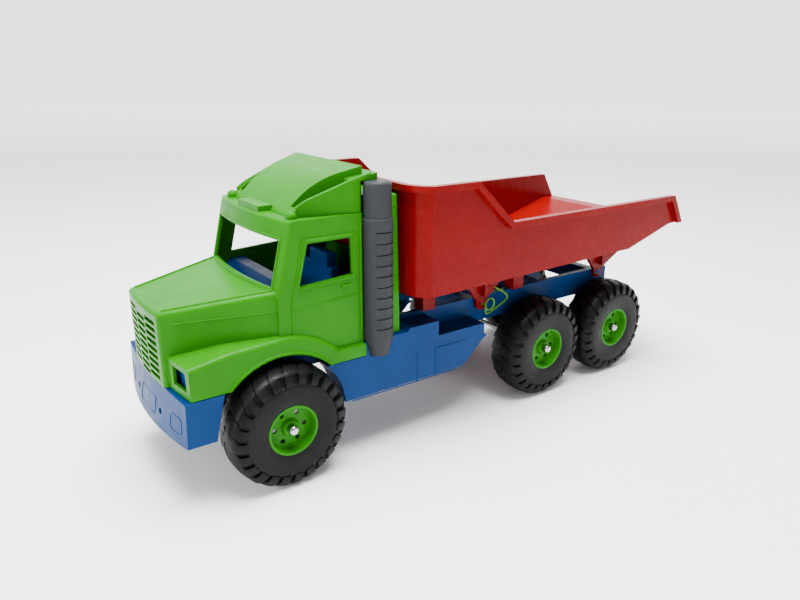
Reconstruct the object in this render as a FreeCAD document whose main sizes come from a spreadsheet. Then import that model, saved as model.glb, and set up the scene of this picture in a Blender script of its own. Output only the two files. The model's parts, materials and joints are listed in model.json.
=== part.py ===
import FreeCAD, Part
import math
import os
import Sketcher

# Toy tipper truck, millimetres. Every outline is drawn in the truck's working frame:
# x across (the driver's left is +x), y rearwards from the front axle, z up from a line
# axle_z under the axles. Each finished piece is then moved by front_axle_y and lift, so that
# the origin of the model is on the ground under the middle of the whole truck and the nose
# points to -y.

SIZES = {
    # whole truck
    "front_axle_y": -261.75, "middle_axle_y": 384, "rear_axle_y": 527, "axle_z": 65, "lift": 3.5,
    # wheels
    "wheel_radius": 68.5, "tyre_inner_x": 70, "tyre_outer_x": 120, "rim_radius": 28.4,
    "tyre_wall": 3, "tyre_seat": 28.5, "hub_inner_x": 72, "hub_outer_x": 117.5, "web_x": 104,
    "web_thick": 3, "boss_radius": 9, "boss_outer_x": 111, "boss_bore": 3.05,
    "hole_circle": 17.5, "hole_radius": 2.8, "hole_count": 6,
    "axle_radius": 3, "axle_half": 119, "cap_radius": 5.5, "cap_inner_x": 111.3, "cap_outer_x": 120.5,
    # chassis moulding
    "wall": 3, "rail_inner_x": 58, "rail_outer_x": 66, "rail_bottom": 109, "rail_top": 143,
    "deck_bottom": 131, "deck_top": 134, "rail_front_y": -62, "deck_front_y": -50,
    "cab_back_y": 167, "rail_rear_y": 560, "skirt_x": 98, "skirt_bottom": 68,
    "skirt_arc": 75, "tank_front_y": 165, "tank_top": 138, "tank_rear_y": 208,
    "low_tank_top": 119, "low_tank_rear_y": 283, "hanger_half": 20, "hanger_foot": 9,
    "hanger_bottom": 54, "hanger_inner_x": 54, "cross_half_depth": 7, "cross_bottom": 112,
    "cross_top": 136,
    # bumper
    "bumper_x": 99, "bumper_bottom": 69, "bumper_top": 118, "bumper_low_front": -117.5,
    "bumper_low_corner": -106, "bumper_top_corner": -104,
    "bumper_rear_y": -62, "return_low_y": -77, "return_high_y": -63, "bumper_low_arc": 430,
    "bumper_top_arc": 980, "arm_inner_x": 49,
    "arm_outer_x": 57.7, "arm_rear_y": -40, "arm_bottom": 112, "arm_top": 128,
    "lamp_inner_x": 60, "lamp_outer_x": 94, "lamp_bottom": 116, "lamp_top": 148,
    "lamp_front_y": -95, "lamp_rear_y": -84,
    # cab moulding
    "fender_x": 99, "fender_bottom": 119, "fender_front_y": -106, "fender_side_y": -98,
    "fender_nose_z": 152, "fender_mid_y": -54, "fender_mid_z": 160, "fender_top": 162.5,
    "fender_arc": 97.5, "fender_arc_y": 69.9, "fender_front_arc": 616, "step_top": 133,
    "step_rear_y": 103, "arch_radius": 78, "hood_front_x": 52, "hood_corner_y": -109,
    "hood_front_arc": 450, "hood_rear_x": 90, "cowl_y": 6, "hood_nose_z": 198,
    "cowl_z": 210.5, "cab_x": 92, "cab_rear_y": 103.5, "screen_low_z": 205,
    "screen_low_y": 1.5, "screen_arc": 475, "header_y": 20, "roof_z": 281,
    "screen_x": 78, "screen_bottom": 211.5, "screen_top": 260.5, "door_proud": 1,
    "rear_way_x": 74, "rear_way_bottom": 122, "rear_way_top": 276,
    "window_front_low_y": 26, "window_front_high_y": 37, "window_rear_y": 89,
    "window_bottom": 212, "window_bottom_rear": 215.5, "window_top": 256.5,
    "slot_height": 4.6, "slot_width": 27, "slot_gap": 2.6, "slot_pitch": 7.4,
    "slot_bottom": 124, "slot_rows": 9, "slot_columns": 3,
    "lamp_hole_in": 64, "lamp_hole_out": 92, "lamp_hole_bottom": 127, "lamp_hole_top": 147,
    "marker_x": 77, "marker_y": 28, "marker_radius": 6.5, "bar_half": 27, "bar_front_y": 14,
    "bar_rear_y": 31, "bar_top": 287.5,
    # roof fairing
    "fairing_front_x": 61.5, "fairing_rear_x": 76.5, "waist_arc": 254, "fairing_front_y": 28,
    "fairing_knee_y": 95, "fairing_knee_z": 322.9, "fairing_arc": 116, "fairing_rear_y": 114,
    "fairing_rear_z": 328.5, "stack_way_x": 75,
    "ledge_front_x": 77, "ledge_x": 90, "ledge_front_y": 28, "ledge_knee_y": 52,
    "ledge_knee_z": 299, "ledge_arc": 47, "ledge_turn_y": 95, "ledge_turn_z": 315,
    "ledge_rear_y": 125, "ledge_rear_z": 322, "ledge_under": 314.4, "rail_width": 8,
    "channel_depth": 6,
    "roof_gap": 0.3,
    # rear panel of the cab
    "panel_x": 91, "panel_neck_x": 76.5, "panel_neck_y": 141, "panel_top": 297,
    "panel_bottom": 134.5, "panel_top_y": 150.5, "panel_low_y": 155.5, "seam_z": 282,
    "back_window_x": 58, "back_window_bottom": 214, "back_window_top": 262,
    # inside the cab
    "dash_x": 86, "dash_front_y": 9, "dash_rear_y": 44, "dash_nose_z": 197, "dash_top": 204,
    "seat_x": 56, "seat_front_y": 60, "seat_back_y": 84, "seat_rear_y": 96,
    "seat_top": 230, "seat_cushion_z": 172,
    # exhaust stacks
    "stack_x": 95, "stack_y": 121.5, "stack_radius": 17.2, "pipe_radius": 15.4,
    "stack_bottom": 117, "stack_taper": 137, "stack_tip": 12.5, "sleeve_top": 275,
    "stack_top": 314, "slit_height": 1.4, "slit_depth": 2, "slit_count": 10,
    "slit_bottom": 150, "slit_pitch": 12.2, "notch_clearance": 0.8,
    # tipper bed
    "bed_x": 126, "bed_wall": 3, "rim_x": 132, "rim_height": 7.5, "bed_front_y": 157,
    "bed_bottom": 181, "bed_high": 308, "bed_high_y": 235, "bed_low_y": 292,
    "bed_low": 255, "bed_tail_y": 616, "bed_tail_low_y": 641, "bed_tail_low": 213.5,
    "ramp_y": 528, "ramp_z": 187, "ramp_end_y": 617, "bed_turn_x": 96, "wall_turn": 16.1,
    "rim_turn": 20.4, "space_turn": 14, "bed_arc": 36, "rim_out": 6, "tail_rim": 8,
    "ear_inner_x": 67, "ear_outer_x": 72, "hinge_y": 534, "hinge_z": 139.5,
    "ear_radius": 8.5, "pin_radius": 4, "pin_fit": 0.06, "ear_front_y": 509, "ear_rear_y": 576,
    "ear_shoulder": 163, "lock_y": 300, "lock_z": 134.5, "lock_ear_radius": 8.5,
    "lock_front_y": 274, "lock_rear_y": 336, "peg_inner_x": 54, "peg_front_y": 203,
    "peg_length": 19, "peg_rear_y": 357, "rest_gap": 0.3,
    # lock clip
    "wire_radius": 1.1, "clip_bore": 1.16, "rail_bore": 1.25, "clip_end_x": 67.3,
    "clip_coil_x": 76.8, "coil_radius": 8.3, "coil_turns": 2,
    # screws
    "screw_radius": 1.5, "screw_head": 3, "screw_head_thick": 2,
}

doc = FreeCAD.newDocument("tipper_truck")
sheet = doc.addObject("Spreadsheet::Sheet", "sizes")
for row, (alias, value) in enumerate(SIZES.items(), start=1):
    sheet.set("A%d" % row, alias)
    sheet.set("B%d" % row, str(value))
    sheet.setAlias("B%d" % row, alias)
doc.recompute()


# Expressions: sums of cell names and plain numbers, such as "rail_top + 2".

def tokens(expression):
    """Signed terms of a sum, as (sign, word) pairs."""
    sign = 1
    for word in str(expression).split():
        if word in "+-":
            sign = 1 if word == "+" else -1
        else:
            yield sign, word
            sign = 1


def number(expression):
    """Value of a sum, read from the sheet's sizes."""
    total = 0.0
    for sign, word in tokens(expression):
        total += sign * float(SIZES.get(word, word) if word in SIZES else word)
    return total


def bound(expression, unit=""):
    """The same sum as an expression on the sheet."""
    terms = []
    for sign, word in tokens(expression):
        name = "sizes." + word if word in SIZES else word
        terms.append(("-" if sign < 0 else "+") + name)
    text = "0" + "".join(terms)
    return "(%s) * 1%s" % (text, unit) if unit else text


def minus(expression):
    """The negative of a sum."""
    return " ".join(("- " if sign > 0 else "+ ") + word for sign, word in tokens(expression))


# Sketches: closed outlines of straight edges and arcs, each point tied to the sheet.

def arc_between(start, end, radius, side):
    """Anticlockwise arc between two points that bulges to one side of the way from start to
    end. It runs from end to start when the bulge is on the left."""
    chord = end - start
    across = FreeCAD.Vector(-chord.y, chord.x, 0).normalize()
    depth = math.sqrt(radius ** 2 - (chord.Length / 2) ** 2)
    centre = start + chord / 2 - across * (depth if side == "left" else -depth)
    first, last = (end, start) if side == "left" else (start, end)
    angles = [math.atan2(p.y - centre.y, p.x - centre.x) for p in (first, last)]
    circle = Part.Circle(centre, FreeCAD.Vector(0, 0, 1), radius)
    return Part.ArcOfCircle(circle, angles[0], angles[1])


def draw(sketch, outline):
    """Draw a closed outline. A point is (u, v), or (u, v, radius, side) when the edge that
    leaves it is an arc: side is "left" or "right" of the way to the next point."""
    points = [FreeCAD.Vector(number(p[0]), number(p[1]), 0) for p in outline]
    first = sketch.GeometryCount
    count = len(outline)
    ends = []
    for i, corner in enumerate(outline):
        start, end = points[i], points[(i + 1) % count]
        if len(corner) == 2:
            sketch.addGeometry(Part.LineSegment(start, end))
            ends.append((1, 2))
            continue
        sketch.addGeometry(arc_between(start, end, number(corner[2]), corner[3]))
        ends.append((2, 1) if corner[3] == "left" else (1, 2))
    for i in range(count):
        after = (i + 1) % count
        sketch.addConstraint(Sketcher.Constraint(
            "Coincident", first + i, ends[i][1], first + after, ends[after][0]))
    for i, corner in enumerate(outline):
        for axis, term in (("DistanceX", corner[0]), ("DistanceY", corner[1])):
            index = sketch.addConstraint(Sketcher.Constraint(
                axis, first + i, ends[i][0], number(term)))
            sketch.setExpression("Constraints[%d]" % index, bound(term))
        if len(corner) > 2:
            index = sketch.addConstraint(Sketcher.Constraint(
                "Radius", first + i, number(corner[2])))
            sketch.setExpression("Constraints[%d]" % index, bound(corner[2]))


def new_sketch(body, role, offset="0"):
    """Empty sketch on one of the body's own origin planes, moved along its normal."""
    sketch = body.newObject("Sketcher::SketchObject", body.Name + "_sketch")
    plane = next(f for f in body.Origin.OriginFeatures if f.Role == role)
    sketch.AttachmentSupport = [(plane, "")]
    sketch.MapMode = "FlatFace"
    sketch.setExpression(".AttachmentOffset.Base.z", bound(offset, "mm"))
    return sketch


def prism(name, role, outline, low, high):
    """Body with one padded outline, from low to high along the plane's normal."""
    body = doc.addObject("PartDesign::Body", name)
    sketch = new_sketch(body, role, low)
    draw(sketch, outline)
    pad = body.newObject("PartDesign::Pad", name + "_pad")
    pad.Profile = sketch
    pad.setExpression("Length", bound(high + " " + minus(low), "mm"))
    body.Tip = pad
    return body


def prism_x(name, outline, low, high):
    """Outline of (y, z) points, padded across the truck."""
    return prism(name, "YZ_Plane", outline, low, high)


def prism_y(name, outline, front, rear):
    """Outline of (x, z) points, padded along the truck; that plane's normal is -y."""
    return prism(name, "XZ_Plane", outline, minus(rear), minus(front))


def prism_z(name, outline, low, high):
    """Outline of (x, y) points, padded upwards."""
    return prism(name, "XY_Plane", outline, low, high)


def loft_z(name, low_outline, low, high_outline, high):
    """Body lofted between two plan outlines."""
    body = doc.addObject("PartDesign::Body", name)
    sketches = []
    for outline, height in ((low_outline, low), (high_outline, high)):
        sketch = new_sketch(body, "XY_Plane", height)
        draw(sketch, outline)
        sketches.append(sketch)
    loft = body.newObject("PartDesign::AdditiveLoft", name + "_loft")
    loft.Profile = sketches[0]
    loft.Sections = [sketches[1]]
    loft.Ruled = True
    body.Tip = loft
    return body


def leaning_prism(name, outline, low, high, lean):
    """Plan outline padded upwards while it leans back by a run of lean over its height."""
    body = prism_z(name, outline, low, high)
    rise = number(high) - number(low)
    body.Tip.UseCustomVector = True
    body.Tip.Direction = FreeCAD.Vector(0, number(lean) / rise, 1)
    body.Tip.AlongSketchNormal = True
    return body


def rectangle(u_low, v_low, u_high, v_high):
    """Four corners of an upright rectangle."""
    return [(u_low, v_low), (u_high, v_low), (u_high, v_high), (u_low, v_high)]


def box(name, x, y, z):
    """Block between (low, high) pairs on the three axes."""
    return prism_z(name, rectangle(x[0], y[0], x[1], y[1]), z[0], z[1])


TURNS = {
    "x": FreeCAD.Rotation(FreeCAD.Vector(0, 1, 0), 90),
    "y": FreeCAD.Rotation(FreeCAD.Vector(1, 0, 0), -90),
    "z": FreeCAD.Rotation(),
}


def place(item, x="0", y="0", z="0", turn=TURNS["z"]):
    """Tie an object's position to the sheet."""
    item.Placement = FreeCAD.Placement(FreeCAD.Vector(0, 0, 0), turn)
    for axis, term in (("x", x), ("y", y), ("z", z)):
        item.setExpression(".Placement.Base." + axis, bound(term, "mm"))
    return item


def rod(name, along, radius, length, x="0", y="0", z="0"):
    """Cylinder that starts at a point and runs along an axis."""
    item = doc.addObject("Part::Cylinder", name)
    item.setExpression("Radius", bound(radius, "mm"))
    item.setExpression("Height", bound(length, "mm"))
    return place(item, x, y, z, TURNS[along])


def cone(name, low_radius, high_radius, length, x, y, z):
    """Upright cone frustum."""
    item = doc.addObject("Part::Cone", name)
    item.setExpression("Radius1", bound(low_radius, "mm"))
    item.setExpression("Radius2", bound(high_radius, "mm"))
    item.setExpression("Height", bound(length, "mm"))
    return place(item, x, y, z)


def ball(name, radius, x, y, z):
    """Sphere."""
    item = doc.addObject("Part::Sphere", name)
    item.setExpression("Radius", bound(radius, "mm"))
    return place(item, x, y, z)


def ring(name, ring_radius, wire, x, y, z):
    """Torus whose axis runs across the truck."""
    item = doc.addObject("Part::Torus", name)
    item.setExpression("Radius1", bound(ring_radius, "mm"))
    item.setExpression("Radius2", bound(wire, "mm"))
    return place(item, x, y, z, TURNS["x"])


def mirrored(name, source):
    """The same piece on the other side of the truck."""
    item = doc.addObject("Part::Mirroring", name)
    item.Source = source
    item.Normal = FreeCAD.Vector(1, 0, 0)
    return item


def pair(name, source):
    """A piece together with its mirror image."""
    return [source, mirrored(name, source)]


def fuse(name, pieces):
    """Union of several pieces."""
    item = doc.addObject("Part::MultiFuse", name)
    item.Shapes = pieces
    item.Refine = True
    return item


def cut(name, base, tool):
    """One piece less another."""
    item = doc.addObject("Part::Cut", name)
    item.Base = base
    item.Tool = tool
    item.Refine = True
    return item


def common(name, pieces):
    """What several pieces share."""
    item = doc.addObject("Part::MultiCommon", name)
    item.Shapes = pieces
    item.Refine = True
    return item


def rounded(name, base, radius, wanted):
    """Fillet on the edges that a test picks out."""
    doc.recompute()
    item = doc.addObject("Part::Fillet", name)
    item.Base = base
    edges = [i for i, edge in enumerate(base.Shape.Edges, start=1) if wanted(edge)]
    item.Edges = [(i, number(radius), number(radius)) for i in edges]
    return item


def runs_along(edge, axis):
    """Whether a straight edge is parallel to an axis."""
    if edge.Curve.TypeId != "Part::GeomLine":
        return False
    return abs(abs(edge.Curve.Direction.dot(axis)) - 1) < 1e-6


NODES = []


def finish(label, item, shifted=True):
    """Name a finished piece and move it from the working frame to the model's frame."""
    item.Label = label
    if shifted:
        place(item, y="front_axle_y", z="lift")
    NODES.append(item)
    return item


# Wheels: a blow-moulded hollow tyre on a dished hub, each wheel free on a fixed axle.

WHEELS = {
    "front_left": ("0", 1), "front_right": ("0", -1),
    "middle_left": ("middle_axle_y", 1), "middle_right": ("middle_axle_y", -1),
    "rear_left": ("rear_axle_y", 1), "rear_right": ("rear_axle_y", -1),
}


def revolved(name, outlines):
    """Body turned about the x axis from outlines of (x, radius) points."""
    body = doc.addObject("PartDesign::Body", name)
    sketch = new_sketch(body, "XY_Plane")
    for outline in outlines:
        draw(sketch, outline)
    turn = body.newObject("PartDesign::Revolution", name + "_turn")
    turn.Profile = sketch
    turn.ReferenceAxis = (sketch, ["H_Axis"])
    turn.Angle = 360
    body.Tip = turn
    return body


def make_tyre(name):
    """Hollow tyre with rounded shoulders."""
    outer = [
        ("tyre_inner_x + 4", "tyre_seat"), ("tyre_inner_x", "tyre_seat + 16"),
        ("tyre_inner_x", "tyre_seat + 22", "16", "left"),
        ("tyre_inner_x + 12", "wheel_radius - 1", "85", "left"),
        ("tyre_outer_x - 12", "wheel_radius - 1", "16", "left"),
        ("tyre_outer_x", "tyre_seat + 22"), ("tyre_outer_x", "tyre_seat + 16"),
        ("tyre_outer_x - 3", "tyre_seat"),
    ]
    inner = [
        ("tyre_inner_x + 7", "tyre_seat + tyre_wall"), ("tyre_inner_x + 3", "tyre_seat + 16"),
        ("tyre_inner_x + 3", "tyre_seat + 22"), ("tyre_inner_x + 12", "wheel_radius - 4"),
        ("tyre_outer_x - 12", "wheel_radius - 4"), ("tyre_outer_x - 3", "tyre_seat + 22"),
        ("tyre_outer_x - 3", "tyre_seat + 16"), ("tyre_outer_x - 6", "tyre_seat + tyre_wall"),
    ]
    return revolved(name, [outer, inner])


def make_hub(name):
    """Dished hub: rim, web with round holes, and a boss that runs on the axle."""
    body = revolved(name, [[
        ("hub_inner_x", "boss_bore"), ("hub_inner_x", "boss_radius"),
        ("web_x", "boss_radius"), ("web_x", "rim_radius - 3"),
        ("hub_inner_x + 3", "rim_radius - 3"), ("hub_inner_x + 3", "rim_radius"),
        ("hub_outer_x", "rim_radius"), ("hub_outer_x", "rim_radius - 2.6"),
        ("web_x + web_thick", "rim_radius - 4"), ("web_x + web_thick", "boss_radius + 1.5"),
        ("boss_outer_x", "boss_radius - 1"), ("boss_outer_x", "boss_bore"),
    ]])
    sketch = new_sketch(body, "YZ_Plane", "web_x - 1")
    circle = sketch.addGeometry(Part.Circle(
        FreeCAD.Vector(number("hole_circle"), 0, 0), FreeCAD.Vector(0, 0, 1),
        number("hole_radius")))
    for kind, place_on, term in (("Radius", None, "hole_radius"), ("DistanceX", 3, "hole_circle"),
                                 ("DistanceY", 3, "0")):
        values = (circle, number(term)) if place_on is None else (circle, place_on, number(term))
        index = sketch.addConstraint(Sketcher.Constraint(kind, *values))
        sketch.setExpression("Constraints[%d]" % index, bound(term))
    pocket = body.newObject("PartDesign::Pocket", name + "_hole")
    pocket.Profile = sketch
    pocket.Reversed = True
    pocket.setExpression("Length", bound("web_thick + 4", "mm"))
    doc.recompute()
    holes = body.newObject("PartDesign::PolarPattern", name + "_holes")
    holes.Originals = [pocket]
    axis = next(f for f in body.Origin.OriginFeatures if f.Role == "X_Axis")
    holes.Axis = (axis, [""])
    holes.Angle = 360
    holes.setExpression("Occurrences", bound("hole_count"))
    body.Tip = holes
    return body


def stand_wheel_part(label, item, axle_y, side):
    """Place a wheel's piece on its axle, turned round for the right-hand side."""
    turn = FreeCAD.Rotation(FreeCAD.Vector(0, 0, 1), 0 if side > 0 else 180)
    place(item, y=axle_y + " + front_axle_y", z="axle_z + lift", turn=turn)
    finish(label, item, shifted=False)


for corner, (axle_y, side) in WHEELS.items():
    stand_wheel_part("tyre_" + corner, make_tyre("tyre_" + corner), axle_y, side)
    stand_wheel_part("hub_" + corner, make_hub("hub_" + corner), axle_y, side)


def make_cap(name, axle_y, side):
    """Domed push-on cap over one end of an axle."""
    start = "cap_inner_x" if side > 0 else "- cap_outer_x"
    dome = rod(name + "_dome", "x", "cap_radius", "cap_outer_x - cap_inner_x", start, axle_y,
               "axle_z")
    dome = rounded(name + "_round", dome, "3.5", lambda edge: (
        abs(edge.CenterOfMass.x) > number("cap_outer_x") - 0.1))
    socket = rod(name + "_socket", "x", "axle_radius", "axle_half + axle_half", "- axle_half",
                 axle_y, "axle_z")
    return cut(name, dome, socket)


AXLES = {"front": "0", "middle": "middle_axle_y", "rear": "rear_axle_y"}
caps = []
for where, axle_y in AXLES.items():
    finish(where + "_axle", rod(where + "_axle", "x", "axle_radius", "axle_half + axle_half"),
           shifted=False)
    place(NODES[-1], x="- axle_half", y=axle_y + " + front_axle_y", z="axle_z + lift",
          turn=TURNS["x"])
    for side in (1, -1):
        caps.append(make_cap("%s_cap_%d" % (where, side), axle_y, side))
finish("axle_caps", fuse("axle_caps", caps))


# Screws through the rails into the bumper's arms: shanks, and the holes that they go in.

SCREW_PLACES = ("arm_rear_y - 4", "arm_rear_y - 16")


def screw_rods(name, radius, longer):
    """Rods at the four screws."""
    rods = []
    for i, y in enumerate(SCREW_PLACES):
        shank = rod("%s_%d" % (name, i), "x", radius,
                    "rail_outer_x - arm_inner_x - 2 + %s" % longer, "arm_inner_x + 2", y,
                    "arm_bottom + 8")
        rods += pair("%s_right_%d" % (name, i), shank)
    return rods


# Chassis moulding: two rails with hangers for the axles, a deck under the cab, and side
# skirts with tank-like tops.

def hanger(name, axle_y):
    """Axle hanger under the left rail."""
    return prism_x(name, [
        (axle_y + " - hanger_half", "rail_bottom + 1"), (axle_y + " - hanger_foot", "hanger_bottom"),
        (axle_y + " + hanger_foot", "hanger_bottom"), (axle_y + " + hanger_half", "rail_bottom + 1"),
    ], "hanger_inner_x", "rail_outer_x")


def make_chassis():
    """The blue chassis moulding."""
    rails = [
        prism_x("rail_front", rectangle("rail_front_y", "rail_bottom", "cab_back_y", "deck_top"),
                "rail_inner_x", "rail_outer_x"),
        prism_x("rail_rear", rectangle("cab_back_y - 1", "rail_bottom", "rail_rear_y", "rail_top"),
                "rail_inner_x", "rail_outer_x"),
    ]
    hangers = [hanger("hanger_" + where, axle_y) for where, axle_y in AXLES.items()]
    skirt_skin = prism_x("skirt_block", [
        ("52.1", "118", "skirt_arc", "left"), ("74.9", "skirt_bottom"), ("247", "skirt_bottom"),
        ("254", "72"), ("281", "98"), ("288", "100.5"), ("288", "102.5"),
        ("low_tank_rear_y", "102.5"), ("low_tank_rear_y", "low_tank_top"),
        ("tank_rear_y", "low_tank_top"), ("tank_rear_y", "tank_top"),
        ("tank_front_y", "tank_top"), ("tank_front_y - 4", "deck_top"),
        ("step_rear_y + 1", "deck_top"), ("step_rear_y + 1", "118"),
    ], "rail_outer_x - 1", "skirt_x")
    skirt_space = prism_x("skirt_space", [
        ("55.5", "115", "skirt_arc + 3", "left"), ("79.3", "skirt_bottom - 5"),
        ("243", "skirt_bottom - 5"), ("252", "74.5"), ("277", "98"), ("280", "102"),
        ("280", "116"), ("205", "116"), ("205", "135"), ("168", "135"), ("162", "131"),
        ("107", "131"), ("107", "115"),
    ], "rail_outer_x - 2", "skirt_x - wall")
    skirt = cut("skirt_shell", skirt_skin, skirt_space)
    sides = fuse("chassis_side", rails + hangers + [skirt])
    deck = box("cab_deck", ("- rail_inner_x - 1", "rail_inner_x + 1"),
               ("deck_front_y", "cab_back_y"), ("deck_bottom", "deck_top"))
    crosses = [
        box("cross_%d" % i, ("- rail_inner_x - 1", "rail_inner_x + 1"),
            (where + " - cross_half_depth", where + " + cross_half_depth"),
            ("cross_bottom", "cross_top"))
        for i, where in enumerate(("cab_back_y + 12", "lock_y", "middle_axle_y + 48",
                                   "rail_rear_y - 8"))
    ]
    hinge_pin = rod("hinge_pin", "x", "pin_radius", "ear_outer_x - rail_outer_x + 1.5",
                    "rail_outer_x - 1", "hinge_y", "hinge_z")
    solid = fuse("chassis_solid", pair("chassis_right", sides) + [deck] + crosses
                 + pair("hinge_pin_right", hinge_pin))
    notch = fuse("stack_notch", [
        cone("notch_taper", "stack_tip + notch_clearance", "stack_radius + notch_clearance",
             "stack_taper - stack_bottom", "stack_x", "stack_y", "stack_bottom - notch_clearance"),
        rod("notch_top", "z", "stack_radius + notch_clearance", "10",
            "stack_x", "stack_y", "stack_taper - notch_clearance - 0.01"),
    ])
    lock_bore = rod("lock_bore", "x", "rail_bore", "12", "rail_inner_x - 2", "lock_y", "lock_z")
    axle_bores = [
        rod("axle_bore_" + where, "x", "boss_bore", "axle_half + axle_half", "- axle_half",
            axle_y, "axle_z")
        for where, axle_y in AXLES.items()
    ]
    tools = fuse("chassis_tools", pair("notch_right", notch)
                 + pair("lock_bore_right", lock_bore) + axle_bores
                 + screw_rods("rail_screw_hole", "screw_radius + 0.05", "5"))
    return cut("chassis", solid, tools)


def bumper_plan(inset, low):
    """Plan of the bumper: bowed front, straight sides, open rear."""
    front = "bumper_low_corner" if low else "bumper_top_corner"
    arc = "bumper_low_arc" if low else "bumper_top_arc"
    rear = "bumper_rear_y + 10" if inset != "0" else "bumper_rear_y"
    half = "bumper_x - " + inset
    return [
        (minus(half), front + " + " + inset, arc, "right"),
        (half, front + " + " + inset), (half, rear), (minus(half), rear),
    ]


def make_bumper():
    """Bumper shell with two mounting arms and the blocks behind the lamp openings."""
    skin = loft_z("bumper_skin", bumper_plan("0", True), "bumper_bottom",
                  bumper_plan("0", False), "bumper_top")
    space = loft_z("bumper_space", bumper_plan("wall", True), "bumper_bottom - 3",
                   bumper_plan("wall", False), "bumper_top - wall")
    rear_trim = prism_x("bumper_rear_trim", [
        ("return_low_y", "bumper_bottom - 5"), ("return_high_y", "bumper_top + 5"),
        ("bumper_rear_y + 5", "bumper_top + 5"), ("bumper_rear_y + 5", "bumper_bottom - 5"),
    ], "- bumper_x - 1", "bumper_x + 1")
    shell = cut("bumper_shell", skin, fuse("bumper_trims", [space, rear_trim]))
    lamps = box("lamp_block", ("lamp_inner_x", "lamp_outer_x"), ("lamp_front_y", "lamp_rear_y"),
                ("lamp_bottom", "lamp_top"))
    arm = box("bumper_arm", ("arm_inner_x", "arm_outer_x"),
              ("bumper_top_corner + 4", "arm_rear_y"), ("arm_bottom", "arm_top"))
    solid = fuse("bumper_solid", [shell] + pair("lamp_right", lamps) + pair("arm_right", arm))
    hook_slots = [
        rod("tow_slot_%d" % i, "y", "3.5", "40", x, "bumper_low_front - 5", "88")
        for i, x in enumerate(("38", "- 38"))
    ]
    screw_holes = screw_rods("arm_screw_hole", "screw_radius + 0.05", "5")
    return cut("front_bumper", solid, fuse("bumper_tools", hook_slots + screw_holes))


finish("chassis", make_chassis())
finish("front_bumper", make_bumper())


# Cab moulding: fenders, hood, cab walls and header in one shell, open below and behind.

def cab_plan(half, inset):
    """Plan of the cab's upper part: bowed screen in front, straight sides."""
    corner = "screen_low_y + " + inset
    return [
        (minus(half), corner, "screen_arc", "right"), (half, corner),
        (half, "cab_rear_y"), (minus(half), "cab_rear_y"),
    ]


def cab_upper(name, inset, top, rear):
    """Upper part of the cab, with its screen leaning back."""
    leaning = leaning_prism(name + "_leaning", cab_plan("cab_x - " + inset, inset),
                            "screen_low_z", "roof_z", "header_y - screen_low_y")
    trim = box(name + "_trim", ("- cab_x", "cab_x"), ("- 20", rear), ("screen_low_z", top))
    return common(name, [leaning, trim])


def fender_outline(inset):
    """Side view of the fenders and steps, without the wheel arch."""
    low = "fender_bottom" if inset == "0" else "fender_bottom - 5"
    return [
        ("fender_front_y - 2", low), ("step_rear_y - " + inset, low),
        ("step_rear_y - " + inset, "step_top - " + inset),
        ("fender_arc_y", "step_top - " + inset, "fender_arc", "right"),
        ("0", "fender_top - " + inset), ("fender_mid_y", "fender_mid_z - " + inset),
        ("fender_front_y - 2", "fender_nose_z - 1 - " + inset),
    ]


def fender_plan(inset):
    """Plan of the fenders with their bowed front."""
    half = "fender_x - " + inset
    front = "fender_side_y + " + inset
    return [
        (minus(half), front, "fender_front_arc", "right"), (half, front),
        (half, "step_rear_y - " + inset), (minus(half), "step_rear_y - " + inset),
    ]


def hood_plan(inset, rear):
    """Plan of the hood: bowed nose, sides flaring back to the cab."""
    nose = "hood_front_x - " + inset
    tail = "hood_rear_x - " + inset
    return [
        (minus(nose), "hood_corner_y + " + inset, "hood_front_arc", "right"),
        (nose, "hood_corner_y + " + inset), (tail, rear), (minus(tail), rear),
    ]


def hood_side(inset):
    """Side view of the hood up to its sloping top."""
    return [
        ("hood_corner_y - 10", "fender_bottom - 6"), ("cowl_y + 8", "fender_bottom - 6"),
        ("cowl_y + 8", "cowl_z - " + inset), ("cowl_y", "cowl_z - " + inset),
        ("hood_corner_y - 10", "hood_nose_z - 1.1 - " + inset),
    ]


def door_outline():
    """Outline of the door panel."""
    return [
        ("16", "130"), ("16", "192"), ("31", "262"), ("96", "261"), ("97", "130"),
    ]


def window_outline():
    """Outline of the side window opening."""
    return [
        ("window_front_low_y", "window_bottom"), ("window_rear_y + 1", "window_bottom_rear"),
        ("window_rear_y", "window_top"), ("window_front_high_y", "window_top"),
    ]


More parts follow.
